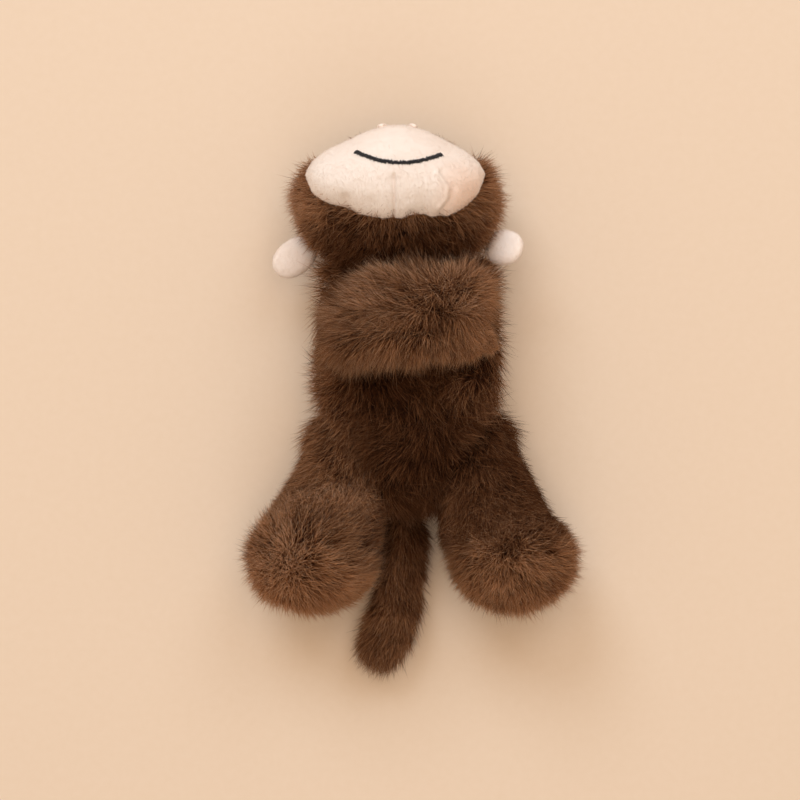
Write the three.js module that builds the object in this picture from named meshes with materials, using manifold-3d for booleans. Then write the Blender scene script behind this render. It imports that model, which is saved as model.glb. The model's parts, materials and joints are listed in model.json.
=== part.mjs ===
// Plush monkey lying on its back, arms folded over its chest, head tipped back.
// Millimetres. +Z is up, +Y runs from the tail to the head, +X is the toy's own left.
// The origin is the middle of the flat patch of the back that the torso lies on.
import * as THREE from 'three';
import { mergeVertices } from 'three/addons/utils/BufferGeometryUtils.js';
import Module from 'manifold-3d';

const wasm = await Module();
wasm.setup();

// Fabrics and fits
const PILE = 7;
const SHORT_PILE = 2.5;
const CLEARANCE = 0.3;
const REST_FLAT = 0.5;
const FACET = 0.06;
const ROOM = 0.8;

// Torso
const TORSO_LENGTH = 142;
const TORSO_WIDTH = 98;
const TORSO_DEPTH = 64;
const SEAT_WIDTH = 46;

// Head, tipped back so that its crown lies on the ground
const HEAD_WIDTH = 112;
const HEAD_HEIGHT = 88;
const HEAD_DEPTH = 72;
const HEAD_TILT = 65;
const HEAD_REACH = 28;
const HEAD_SHIFT = -7;
const NECK_SETBACK = 22;
const NOD_BACK = -10;
const NOD_FORWARD = 10;

// Muzzle and its stitching
const MUZZLE_WIDTH = 96;
const MUZZLE_HEIGHT = 60;
const MUZZLE_DEPTH = 64;
const MUZZLE_LIFT = 67;
const MUZZLE_REACH = 25;
const MUZZLE_SEAM_DROP = 3;
const MOUTH_WIDTH = 47;
const MOUTH_ANGLE = 103;
const MOUTH_CURL = 18;
const NOSTRIL_SPACING = 17;
const NOSTRIL_LENGTH = 10;
const STITCH_WIDTH = 3.3;
const STITCH_HEIGHT = 1;

// Ears
const EAR_LENGTH = 27;
const EAR_WIDTH = 20;
const EAR_THICKNESS = 9;

// Eyes
const EYE_DIAMETER = 12;
const EYE_HEIGHT = 5;
const EYE_SPACING = 38;
const EYE_RAISE = 64;
const SHANK_DIAMETER = 3;
const WASHER_DIAMETER = 12;
const WASHER_THICKNESS = 1.5;

// Arms
const ARM_DIAMETER = 26;
const SHOULDER_DIAMETER = 33;
const SHOULDER_SPREAD = 68;
const RIGHT_SHOULDER_DROP = 25;
const ARM_CROSSING = 65;

// Legs and feet
const HIP_DIAMETER = 50;
const HIP_SPREAD = 68;
const HIP_DROP = 35;
const HIP_RISE = 25;
const ANKLE_DIAMETER = 44;
const FOOT_WIDTH = 71;
const FOOT_DEPTH = 66;
const FOOT_HEIGHT = 80;
const FOOT_SPREAD = 106;
const FOOT_DROP = 93;
const LEFT_TOE_OUT = 2;
const RIGHT_TOE_OUT = 20;
const LEG_LIFT = 30;

// Tail
const TAIL_DIAMETER = 28;
const TAIL_ROOT_DIAMETER = 24;
const TAIL_LENGTH = 78;
const TAIL_SHIFT = -5;
const TAIL_SWAY = 9;
const TAIL_LIFT = 30;

const LEFT = 1;
const RIGHT = -1;
const torsoMiddle = new THREE.Vector3(0, 0, TORSO_DEPTH / 2 - REST_FLAT);
const X = new THREE.Vector3(1, 0, 0);
const Y = new THREE.Vector3(0, 1, 0);
const Z = new THREE.Vector3(0, 0, 1);

function vec(x, y, z) {
  return new THREE.Vector3(x, y, z);
}

// Facets round a form: an inner surface has fewer.
function facets(count, grow) {
  return grow < 0 ? 2 * Math.round(count * 0.3) : count;
}

function rad(degrees) {
  return THREE.MathUtils.degToRad(degrees);
}

// A closed solid from a geometry.
function solid(geometry) {
  const bare = new THREE.BufferGeometry();
  bare.setAttribute('position', geometry.getAttribute('position'));
  bare.setIndex(geometry.getIndex());
  const welded = mergeVertices(bare, 1e-4);
  const corners = [];
  const index = welded.getIndex().array;
  for (let i = 0; i < index.length; i += 3) {
    const [a, b, c] = [index[i], index[i + 1], index[i + 2]];
    if (a !== b && b !== c && c !== a) corners.push(a, b, c);
  }
  return new wasm.Manifold(new wasm.Mesh({
    numProp: 3,
    vertProperties: new Float32Array(welded.getAttribute('position').array),
    triVerts: new Uint32Array(corners),
  }));
}

// The largest single body of a cut solid.
function main(body) {
  const bodies = body.decompose();
  return bodies.reduce((best, next) => (next.volume() > best.volume() ? next : best));
}

function reshape(geometry, place) {
  const position = geometry.getAttribute('position');
  const point = new THREE.Vector3();
  for (let i = 0; i < position.count; i += 1) {
    point.fromBufferAttribute(position, i);
    const moved = place(point);
    position.setXYZ(i, moved.x, moved.y, moved.z);
  }
  return geometry;
}

function ball(middle, radius, around = 16) {
  const geometry = new THREE.SphereGeometry(radius, around, around / 2);
  return solid(geometry.translate(middle.x, middle.y, middle.z));
}

// How far out a stuffed form reaches along a unit direction; its ends are fuller than its girth.
function swell(direction, half, ends, girth) {
  const across = Math.abs(direction.x / half.x) ** girth + Math.abs(direction.z / half.z) ** girth;
  return (across ** (ends / girth) + Math.abs(direction.y / half.y) ** ends) ** (-1 / ends);
}

// A stuffed form of three half sizes, turned and placed by a matrix.
function cushion(half, ends, girth, matrix, around, along, narrowing = () => 1) {
  const geometry = reshape(new THREE.SphereGeometry(1, around, along), (point) => {
    const unit = point.clone().multiply(half).normalize();
    const place = unit.multiplyScalar(swell(unit, half, ends, girth));
    return place.setX(place.x * narrowing(place.y));
  });
  return solid(geometry.applyMatrix4(matrix));
}

// A round limb laid along a level or upright curve; each station is a length along it and a radius.
function limb(curve, planeNormal, stations, around) {
  const profile = stations.map(([along, radius]) => new THREE.Vector2(radius, along));
  const length = curve.getLength();
  return solid(reshape(new THREE.LatheGeometry(profile, around), (point) => {
    const share = THREE.MathUtils.clamp(point.y / length, 0, 1);
    const tangent = curve.getTangentAt(share);
    const side = tangent.clone().cross(planeNormal).normalize();
    const over = point.y - share * length;
    return curve.getPointAt(share)
      .addScaledVector(tangent, over)
      .addScaledVector(planeNormal, point.z)
      .addScaledVector(side, point.x);
  }));
}

// Stations of a limb with a rounded far end.
function stations(length, root, waist, end) {
  const list = [[0, 0], [0.01, root], [length * 0.3, waist], [length * 0.7, (waist + end) / 2]];
  for (const turn of [0, 25, 50, 72]) {
    list.push([length + end * Math.sin(rad(turn)), end * Math.cos(rad(turn))]);
  }
  list.push([length + end, 0]);
  return list;
}

// The part of a solid on the side of a plane that its normal points to, half a clearance back from it.
function sideOf(body, point, normal) {
  const reach = 4 * TORSO_LENGTH;
  const geometry = new THREE.BoxGeometry(reach, reach, reach);
  geometry.translate(0, 0, reach / 2 + CLEARANCE / 2);
  geometry.applyQuaternion(new THREE.Quaternion().setFromUnitVectors(Z, normal.clone().normalize()));
  return body.intersect(solid(geometry.translate(point.x, point.y, point.z)));
}

function aboveGround(body) {
  return sideOf(body, vec(0, 0, -CLEARANCE / 2), Z);
}

// A body turned about an axis through a point, in degrees.
function turned(body, point, axis, degrees) {
  const matrix = new THREE.Matrix4().makeTranslation(point.x, point.y, point.z)
    .multiply(new THREE.Matrix4().makeRotationAxis(axis, rad(degrees)))
    .multiply(new THREE.Matrix4().makeTranslation(-point.x, -point.y, -point.z));
  return body.transform(matrix.elements);
}

// Everywhere a body passes as it turns from one angle to another, in larger facets.
function swept(body, point, axis, from, to) {
  const steps = Math.ceil(Math.abs(to - from) / 15);
  let all = turned(body, point, axis, from);
  for (let i = 1; i <= steps; i += 1) {
    all = all.add(turned(body, point, axis, from + ((to - from) * i) / steps));
  }
  return all.simplify(ROOM / 2);
}

// Torso
const TORSO_ENDS = 4.2;
const TORSO_GIRTH = 2.2;

function torsoForm(grow) {
  const half = vec(TORSO_WIDTH / 2 + grow, TORSO_LENGTH / 2 + grow, TORSO_DEPTH / 2 + grow);
  const place = new THREE.Matrix4().makeTranslation(torsoMiddle.x, torsoMiddle.y, torsoMiddle.z);
  const narrowing = (y) => {
    const toSeat = THREE.MathUtils.clamp((-2 * y) / TORSO_LENGTH, 0, 1);
    return 1 - (1 - SEAT_WIDTH / TORSO_WIDTH) * toSeat ** 2;
  };
  return cushion(half, TORSO_ENDS, TORSO_GIRTH, place, facets(20, grow), facets(12, grow), narrowing);
}

// Height of the chest's surface above the ground.
function chestHeight(x, y) {
  const girth = (1 - Math.abs((2 * y) / TORSO_LENGTH) ** TORSO_ENDS) ** (1 / TORSO_ENDS);
  const across = Math.max(0, girth ** TORSO_GIRTH - Math.abs((2 * x) / TORSO_WIDTH) ** TORSO_GIRTH);
  return torsoMiddle.z + (TORSO_DEPTH / 2) * across ** (1 / TORSO_GIRTH);
}

// Head
const HEAD_ENDS = 2.4;
const headHalf = vec(HEAD_WIDTH / 2, HEAD_HEIGHT / 2, HEAD_DEPTH / 2);
const crownward = vec(0, Math.cos(rad(HEAD_TILT)), -Math.sin(rad(HEAD_TILT)));
const faceward = vec(0, Math.sin(rad(HEAD_TILT)), Math.cos(rad(HEAD_TILT)));
const headTurn = new THREE.Matrix4().makeBasis(X, crownward, faceward);

function lowest(half) {
  let low = 0;
  for (let angle = 0; angle < 360; angle += 2) {
    const unit = vec(0, Math.cos(rad(angle)), Math.sin(rad(angle)));
    const point = unit.multiplyScalar(swell(unit, half, HEAD_ENDS, HEAD_ENDS)).applyMatrix4(headTurn);
    low = Math.min(low, point.z);
  }
  return low;
}

const headMiddle = vec(HEAD_SHIFT, TORSO_LENGTH / 2 + HEAD_REACH, -lowest(headHalf) - REST_FLAT);
const neckPivot = headMiddle.clone().addScaledVector(Y, -NECK_SETBACK);

function headForm(grow) {
  const half = headHalf.clone().addScalar(grow);
  const place = new THREE.Matrix4().makeTranslation(headMiddle.x, headMiddle.y, headMiddle.z).multiply(headTurn);
  return cushion(half, HEAD_ENDS, HEAD_ENDS, place, facets(20, grow), facets(12, grow));
}

// A point of the head's surface in a direction from its middle, and the surface's slope there.
function onHead(direction) {
  const local = direction.clone().normalize().applyMatrix4(headTurn.clone().transpose());
  const point = local.multiplyScalar(swell(local, headHalf, HEAD_ENDS, HEAD_ENDS));
  const slope = (value, size) => (Math.sign(value) * Math.abs(value / size) ** (HEAD_ENDS - 1)) / size;
  const normal = vec(slope(point.x, headHalf.x), slope(point.y, headHalf.y), slope(point.z, headHalf.z));
  return {
    point: point.clone().applyMatrix4(headTurn).add(headMiddle),
    normal: normal.applyMatrix4(headTurn).normalize(),
  };
}

// Muzzle: a lens with a corner at each side, fuller toward the chin
const muzzleward = vec(0, Math.cos(rad(MUZZLE_LIFT)), Math.sin(rad(MUZZLE_LIFT)));
const browward = vec(0, Math.sin(rad(MUZZLE_LIFT)), -Math.cos(rad(MUZZLE_LIFT)));
const muzzleMiddle = headMiddle.clone().addScaledVector(muzzleward, MUZZLE_REACH);

function fullness(x, angle, half) {
  const aside = Math.min(1, Math.abs(x / half));
  const brow = (1 - aside ** 1.6) ** 0.75;
  const chin = (1 - aside ** 3) ** 0.53;
  return THREE.MathUtils.lerp(brow, chin, THREE.MathUtils.smoothstep(-Math.cos(rad(angle)), -0.5, 0.8));
}

function onMuzzle(x, angle, grow) {
  const reach = fullness(x, angle, MUZZLE_WIDTH / 2 + grow);
  return muzzleMiddle.clone()
    .addScaledVector(X, x)
    .addScaledVector(browward, reach * (MUZZLE_HEIGHT / 2 + grow) * Math.cos(rad(angle)))
    .addScaledVector(muzzleward, reach * (MUZZLE_DEPTH / 2 + grow) * Math.sin(rad(angle)));
}

function muzzleForm(grow) {
  const half = MUZZLE_WIDTH / 2 + grow;
  const shares = [-1, -0.9, -0.75, -0.55, -0.35, -0.12, 0.12, 0.35, 0.55, 0.75, 0.9, 1];
  const profile = shares.map((share) => new THREE.Vector2(1 - Math.abs(share) ** 2.3, share * half));
  return solid(reshape(new THREE.LatheGeometry(profile, facets(18, grow)), (point) => {
    const angle = THREE.MathUtils.radToDeg(Math.atan2(point.x, point.z));
    return onMuzzle(point.y, 90 - angle, grow).addScaledVector(X, -2 * point.y);
  }));
}

// A raised bar of stitching on the muzzle; its path gives the place across and the angle round it.
function stitching(path, pieces, width) {
  const girth = (MUZZLE_HEIGHT + MUZZLE_DEPTH) / 4;
  const geometry = new THREE.BoxGeometry(1, 1, 1, pieces, 1, 1);
  return solid(reshape(geometry, (point) => {
    const [x, angle, acrossX, acrossAngle] = path(point.x);
    const aside = point.y * width;
    const lift = CLEARANCE + (point.z + 0.5) * STITCH_HEIGHT;
    const turn = THREE.MathUtils.radToDeg((aside * acrossAngle) / girth);
    return onMuzzle(x + aside * acrossX, angle - turn, lift);
  }));
}

function mouthForm() {
  return stitching((share) => {
    const aside = 2 * share;
    return [aside * (MOUTH_WIDTH / 2), MOUTH_ANGLE - MOUTH_CURL * aside * aside, 0, 1];
  }, 14, STITCH_WIDTH);
}

function nostrilForm(side) {
  const sweep = THREE.MathUtils.radToDeg(NOSTRIL_LENGTH / (MUZZLE_HEIGHT / 2));
  return stitching((share) => [(side * NOSTRIL_SPACING) / 2, 24 + sweep * share, 1, 0], 4, STITCH_WIDTH * 0.8);
}

// Ears: flat leaves that touch the head with one end
function earFrame(side) {
  const place = onHead(side === LEFT ? vec(0.82, -0.36, 0.02) : vec(-0.8, -0.36, -0.2));
  const reach = (side === LEFT ? vec(0.62, -0.25, 0.74) : vec(-0.76, -0.62, 0.12)).normalize();
  const facing = side === LEFT ? vec(-0.7, 0.3, 0.6) : vec(0.1, -0.1, 1);
  const across = reach.clone().cross(facing).normalize();
  const normal = across.clone().cross(reach);
  const root = place.point.clone().addScaledVector(place.normal, CLEARANCE);
  const middle = root.clone().addScaledVector(reach, EAR_LENGTH / 2);
  return { root, middle, reach, across, normal };
}

function earForm(side) {
  const { middle, reach, across, normal } = earFrame(side);
  const half = vec(EAR_WIDTH / 2, EAR_LENGTH / 2, EAR_THICKNESS / 2);
  const place = new THREE.Matrix4().makeBasis(across, reach, normal).setPosition(middle);
  return cushion(half, 2.3, 2.2, place, 14, 8).subtract(headForm(CLEARANCE));
}

// Eyes: a dome and shank in one, with a washer pushed on behind the face panel
const shankLength = PILE + WASHER_THICKNESS + 2.5;
const washerDepth = PILE + 1;

function eyePlace(side) {
  const aside = side * Math.asin(EYE_SPACING / HEAD_WIDTH);
  const direction = vec(0, 0, 0)
    .addScaledVector(X, Math.sin(aside))
    .addScaledVector(faceward, Math.cos(aside) * Math.cos(rad(EYE_RAISE)))
    .addScaledVector(crownward, Math.cos(aside) * Math.sin(rad(EYE_RAISE)));
  const { point, normal } = onHead(direction);
  const turn = new THREE.Quaternion().setFromUnitVectors(Y, normal);
  return new THREE.Matrix4().compose(point, turn, vec(1, 1, 1));
}

function onEye(side, points) {
  const profile = points.map(([radius, height]) => new THREE.Vector2(radius, height));
  return solid(new THREE.LatheGeometry(profile, 16).applyMatrix4(eyePlace(side)));
}

function eyeForm(side) {
  const shank = SHANK_DIAMETER / 2;
  const dome = [0, 30, 60].map((turn) => [
    (EYE_DIAMETER / 2) * Math.cos(rad(turn)), CLEARANCE + EYE_HEIGHT * (0.15 + 0.85 * Math.sin(rad(turn))),
  ]);
  return onEye(side, [
    [0, -shankLength], [shank, -shankLength], [shank, CLEARANCE], [EYE_DIAMETER / 2, CLEARANCE],
    ...dome, [0, CLEARANCE + EYE_HEIGHT],
  ]);
}

function washerForm(side) {
  const hole = SHANK_DIAMETER / 2 + CLEARANCE;
  const [top, bottom] = [-washerDepth, -washerDepth - WASHER_THICKNESS];
  const rim = WASHER_DIAMETER / 2;
  return onEye(side, [[hole, bottom], [rim, bottom], [rim, top], [hole, top], [hole, bottom]]);
}

function eyeHole(side) {
  const hole = SHANK_DIAMETER / 2 + CLEARANCE;
  const end = shankLength + CLEARANCE;
  return onEye(side, [[0, -end], [hole, -end], [hole, PILE], [0, PILE]]);
}

function eyePocket(side) {
  const room = WASHER_DIAMETER / 2 + CLEARANCE;
  const [end, start] = [shankLength + CLEARANCE, washerDepth - CLEARANCE];
  return onEye(side, [[0, -end], [room, -end], [room, -start], [0, -start]]);
}

// Arms: each hangs on a round shoulder set into the chest and crosses to the other side
const rightArmAlong = TORSO_LENGTH / 2 - RIGHT_SHOULDER_DROP;
const armAlong = { [LEFT]: rightArmAlong - ARM_DIAMETER - 2 * CLEARANCE, [RIGHT]: rightArmAlong };

function shoulder(side) {
  const x = (side * SHOULDER_SPREAD) / 2;
  return vec(x, armAlong[side], chestHeight(x, armAlong[side]));
}

// The round shoulder, no wider along the body than its arm.
function shoulderForm(side, grow) {
  const middle = shoulder(side);
  const reach = vec(0, ARM_DIAMETER / 2 + grow, 0);
  const round = ball(middle, SHOULDER_DIAMETER / 2 + grow, facets(16, grow));
  const back = CLEARANCE / 2;
  const below = sideOf(round, middle.clone().add(reach).addScaledVector(Y, back), Y.clone().negate());
  return sideOf(below, middle.clone().sub(reach).addScaledVector(Y, -back), Y);
}

const headSweep = swept(headForm(CLEARANCE + ROOM / 2), neckPivot, X, NOD_BACK, NOD_FORWARD);
const muzzleSweep = swept(muzzleForm(CLEARANCE + ROOM), neckPivot, X, NOD_BACK, NOD_FORWARD);

function armForm(side, grow) {
  const start = shoulder(side);
  const along = armAlong[side];
  const over = (x) => chestHeight(x, along) + ARM_DIAMETER / 2 + CLEARANCE;
  const end = start.x - side * ARM_CROSSING;
  const curve = new THREE.CatmullRomCurve3([
    start,
    vec(start.x - side * 3, along, (start.z + over(start.x)) / 2 + 2),
    vec(start.x * 0.5, along, over(start.x * 0.5)),
    vec(end * 0.3, along, over(end * 0.3)),
    vec(end, along, over(end)),
  ]);
  const radius = ARM_DIAMETER / 2 + grow;
  const list = stations(curve.getLength() - ARM_DIAMETER * 0.1, radius * 0.86, radius * 0.94, radius);
  return limb(curve, Y, list, facets(12, grow))
    .subtract(torsoForm(CLEARANCE - grow))
    .subtract(headSweep)
    .subtract(muzzleSweep)
    .add(shoulderForm(side, grow));
}

// Legs: thigh from a round hip to an upturned foot
const hip = (side) => vec((side * HIP_SPREAD) / 2, -HIP_DROP, HIP_RISE);
const foot = (side) => vec((side * FOOT_SPREAD) / 2, -FOOT_DROP, FOOT_HEIGHT / 2 - REST_FLAT);
const toeOut = { [LEFT]: LEFT_TOE_OUT, [RIGHT]: RIGHT_TOE_OUT };

function thighAndFoot(side, grow) {
  const curve = new THREE.LineCurve3(hip(side), foot(side));
  const length = curve.getLength();
  const level = X.clone().cross(foot(side).sub(hip(side))).normalize();
  const ankle = ANKLE_DIAMETER / 2 + grow;
  const thigh = limb(curve, level, [
    [0, 0], [0.01, HIP_DIAMETER * 0.45 + grow], [length * 0.5, ankle], [length, ankle], [length + 0.01, 0],
  ], facets(14, grow));
  const half = vec(FOOT_WIDTH / 2 + grow, FOOT_HEIGHT / 2 + grow, FOOT_DEPTH / 2 + grow);
  const toe = Z.clone().applyAxisAngle(Y, rad(side * toeOut[side]));
  const turn = new THREE.Matrix4().makeBasis(toe.clone().cross(Y).negate().normalize(), toe, Y.clone().negate());
  return thigh.add(cushion(half, 2.3, 2.1, turn.setPosition(foot(side)), facets(16, grow), facets(10, grow)));
}

function legForm(side, grow) {
  return thighAndFoot(side, grow).add(ball(hip(side), HIP_DIAMETER / 2 + grow, facets(16, grow)));
}

// Tail: lies on the ground and sways to the toy's right
const tailRoot = vec(
  TAIL_SHIFT, -TORSO_LENGTH / 2 + TAIL_ROOT_DIAMETER / 4, TAIL_ROOT_DIAMETER / 2 - REST_FLAT,
);

function tailLength(grow) {
  const rise = TAIL_DIAMETER / 2 - REST_FLAT;
  const drop = (share, aside) => vec(TAIL_SHIFT - aside * TAIL_SWAY, tailRoot.y - share * TAIL_LENGTH, rise);
  const curve = new THREE.CatmullRomCurve3([
    tailRoot, drop(0.28, -0.2), drop(0.52, -0.3), drop(0.8, 0.4), drop(1, 1),
  ]);
  const radius = TAIL_DIAMETER / 2 + grow;
  return limb(curve, Z, stations(curve.getLength(), radius * 0.72, radius * 0.86, radius), facets(12, grow));
}

function tailForm(grow) {
  return tailLength(grow)
    .subtract(torsoForm(CLEARANCE - grow))
    .add(ball(tailRoot, TAIL_ROOT_DIAMETER / 2 + grow, facets(16, grow)));
}

// What the torso gives way to: the head, the shoulders, and the legs and tail as they lift
const torsoCut = [
  headSweep,
  shoulderForm(LEFT, CLEARANCE + ROOM / 2),
  shoulderForm(RIGHT, CLEARANCE + ROOM / 2),
  ball(hip(LEFT), HIP_DIAMETER / 2 + CLEARANCE + ROOM),
  ball(hip(RIGHT), HIP_DIAMETER / 2 + CLEARANCE + ROOM),
  swept(thighAndFoot(LEFT, CLEARANCE + ROOM), hip(LEFT), X, 0, -LEG_LIFT),
  swept(thighAndFoot(RIGHT, CLEARANCE + ROOM), hip(RIGHT), X, 0, -LEG_LIFT),
  ball(tailRoot, TAIL_ROOT_DIAMETER / 2 + CLEARANCE + ROOM / 2),
  swept(tailLength(CLEARANCE + ROOM), tailRoot, X, 0, -TAIL_LIFT),
].reduce((all, next) => all.add(next));

const FUR = new THREE.MeshStandardMaterial({ color: 0x62422d, roughness: 0.95, metalness: 0 });
const PALE_CLOTH = new THREE.MeshStandardMaterial({ color: 0xf2dac6, roughness: 0.9, metalness: 0 });
const FIBRE = new THREE.MeshStandardMaterial({ color: 0xf6f4ee, roughness: 1, metalness: 0 });
const THREAD = new THREE.MeshStandardMaterial({ color: 0x17120f, roughness: 0.6, metalness: 0 });
const NOSE_THREAD = new THREE.MeshStandardMaterial({ color: 0xc99a78, roughness: 0.7, metalness: 0 });
const EYE_PLASTIC = new THREE.MeshStandardMaterial({ color: 0x100c0a, roughness: 0.15, metalness: 0 });
const WASHER_PLASTIC = new THREE.MeshStandardMaterial({ color: 0xe6e6e2, roughness: 0.5, metalness: 0 });

const monkey = new THREE.Group();
monkey.name = 'plush_monkey';

function put(name, body, material) {
  const { vertProperties, numProp, triVerts } = main(body.simplify(FACET)).getMesh();
  const position = new Float32Array((vertProperties.length / numProp) * 3);
  for (let i = 0; i < position.length / 3; i += 1) {
    for (let k = 0; k < 3; k += 1) position[i * 3 + k] = vertProperties[i * numProp + k];
  }
  const geometry = new THREE.BufferGeometry();
  geometry.setAttribute('position', new THREE.BufferAttribute(position, 3));
  geometry.setIndex(new THREE.BufferAttribute(new Uint32Array(triVerts), 1));
  geometry.computeVertexNormals();
  const mesh = new THREE.Mesh(geometry, material);
  mesh.name = name;
  monkey.add(mesh);
}

// A stuffed piece: two sewn panels and the fibre inside them.
function stuffed(form, cut, seamPoint, seamNormal, names, material, thickness) {
  const trim = (body) => aboveGround(cut ? body.subtract(cut) : body);
  const cover = trim(form(0).subtract(form(-thickness)));
  put(names[0], sideOf(cover, seamPoint, seamNormal), material);
  put(names[1], sideOf(cover, seamPoint, seamNormal.clone().negate()), material);
  put(names[2], trim(form(-thickness - CLEARANCE)), FIBRE);
}

stuffed(torsoForm, torsoCut, torsoMiddle, Z,
  ['torso_front_panel', 'torso_back_panel', 'torso_stuffing'], FUR, PILE);

const eyeRoom = [LEFT, RIGHT].map((side) => eyeHole(side).add(eyePocket(side))).reduce((a, b) => a.add(b));
const headCover = aboveGround(headForm(0).subtract(headForm(-PILE)).subtract(eyeRoom));
put('head_front_panel', sideOf(headCover, headMiddle, faceward), FUR);
put('head_back_panel', sideOf(headCover, headMiddle, faceward.clone().negate()), FUR);
put('head_stuffing', headForm(-PILE - CLEARANCE).subtract(eyeRoom), FIBRE);

const seamPoint = muzzleMiddle.clone().addScaledVector(Z, -MUZZLE_SEAM_DROP);
stuffed(muzzleForm, headForm(CLEARANCE), seamPoint, Z,
  ['muzzle_lower_panel', 'muzzle_upper_panel', 'muzzle_stuffing'], PALE_CLOTH, SHORT_PILE);
put('mouth_stitching', mouthForm(), THREAD);

for (const [side, name] of [[LEFT, 'left'], [RIGHT, 'right']]) {
  put(`${name}_nostril_stitching`, nostrilForm(side), NOSE_THREAD);
  put(`${name}_eye`, eyeForm(side), EYE_PLASTIC);
  put(`${name}_eye_washer`, washerForm(side), WASHER_PLASTIC);

  const ear = earFrame(side);
  put(`${name}_ear_front_panel`, sideOf(earForm(side), ear.middle, ear.normal), PALE_CLOTH);
  put(`${name}_ear_back_panel`, sideOf(earForm(side), ear.middle, ear.normal.clone().negate()), PALE_CLOTH);

  stuffed((grow) => armForm(side, grow), null, shoulder(side), Y,
    [`${name}_arm_upper_panel`, `${name}_arm_lower_panel`, `${name}_arm_stuffing`], FUR, PILE);

  const outward = foot(side).sub(hip(side)).setZ(0).cross(Z).multiplyScalar(-side);
  stuffed((grow) => legForm(side, grow), null, hip(side), outward,
    [`${name}_leg_outer_panel`, `${name}_leg_inner_panel`, `${name}_leg_stuffing`], FUR, PILE);
}

stuffed(tailForm, null, tailRoot, Z, ['tail_upper_panel', 'tail_lower_panel', 'tail_stuffing'], FUR, PILE);

export default monkey;
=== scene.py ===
"""Plush monkey on its back: padded hides under combed fur, short-pile muzzle and ears, and thread."""
import json
import math

import bmesh
import bpy
import numpy as np
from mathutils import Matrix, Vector
from mathutils.bvhtree import BVHTree


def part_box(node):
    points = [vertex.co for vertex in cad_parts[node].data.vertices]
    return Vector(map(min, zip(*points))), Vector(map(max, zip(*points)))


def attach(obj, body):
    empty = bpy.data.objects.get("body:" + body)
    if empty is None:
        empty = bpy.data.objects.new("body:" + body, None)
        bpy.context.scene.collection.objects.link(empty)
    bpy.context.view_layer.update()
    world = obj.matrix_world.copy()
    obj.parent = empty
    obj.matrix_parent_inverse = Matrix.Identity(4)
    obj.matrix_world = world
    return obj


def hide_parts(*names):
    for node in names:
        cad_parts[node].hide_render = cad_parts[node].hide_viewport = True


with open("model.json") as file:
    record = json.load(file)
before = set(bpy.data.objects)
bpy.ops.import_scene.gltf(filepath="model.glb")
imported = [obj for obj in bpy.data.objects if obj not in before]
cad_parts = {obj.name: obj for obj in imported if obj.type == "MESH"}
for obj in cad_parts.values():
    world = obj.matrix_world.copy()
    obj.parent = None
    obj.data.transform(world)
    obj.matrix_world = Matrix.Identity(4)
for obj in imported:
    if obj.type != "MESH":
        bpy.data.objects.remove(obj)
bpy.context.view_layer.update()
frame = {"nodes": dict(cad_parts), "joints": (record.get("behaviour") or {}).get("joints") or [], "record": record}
scene = bpy.context.scene

# Places and lengths are in millimetres, apart from those times MM and the studio's, which are in metres
MM = 0.001
# No hide or fur lies lower than this
GROUND = 0.3
SIDES = ("left", "right")
joint_place = {joint["name"]: np.array(joint["pos_m"]) / MM for joint in frame["joints"]}
bodies = frame["record"]["behaviour"]["bodies"]


def light(red, green, blue):
    """A colour written as 0 to 255 a channel, as opaque amounts of light."""
    shares = [channel / 255 for channel in (red, green, blue)]
    return *(s / 12.92 if s <= 0.04045 else ((s + 0.055) / 1.055) ** 2.4 for s in shares), 1


def operator(operation):
    """An operator of wires, and its reflected form."""

    def forward(self, other):
        return self.join(operation, self, other)

    def reflected(self, other):
        return self.join(operation, other, self)

    return forward, reflected


class Wire:
    """A socket of a node tree. Sums and products of wires add Math or Vector Math nodes."""

    def __init__(self, graph, socket):
        self.graph = graph
        self.socket = socket

    def join(self, operation, first, second):
        wires = [value for value in (first, second) if isinstance(value, Wire)]
        wide = any(wire.socket.type in ("VECTOR", "RGBA") for wire in wires)
        kind = "ShaderNodeVectorMath" if wide else "ShaderNodeMath"
        return self.graph.node(kind, {"operation": operation}, {0: first, 1: second})

    __add__, __radd__ = operator("ADD")
    __sub__, __rsub__ = operator("SUBTRACT")
    __mul__, __rmul__ = operator("MULTIPLY")
    __truediv__, __rtruediv__ = operator("DIVIDE")
    __pow__, __rpow__ = operator("POWER")

    def at_least(self, other):
        return self.join("MAXIMUM", self, other)

    def at_most(self, other):
        return self.join("MINIMUM", self, other)

    def unit(self):
        return self.graph.node("ShaderNodeVectorMath", {"operation": "NORMALIZE"}, {0: self})

    def part(self, axis):
        return self.graph.node("ShaderNodeSeparateXYZ", None, {"Vector": self}, axis)


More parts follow.
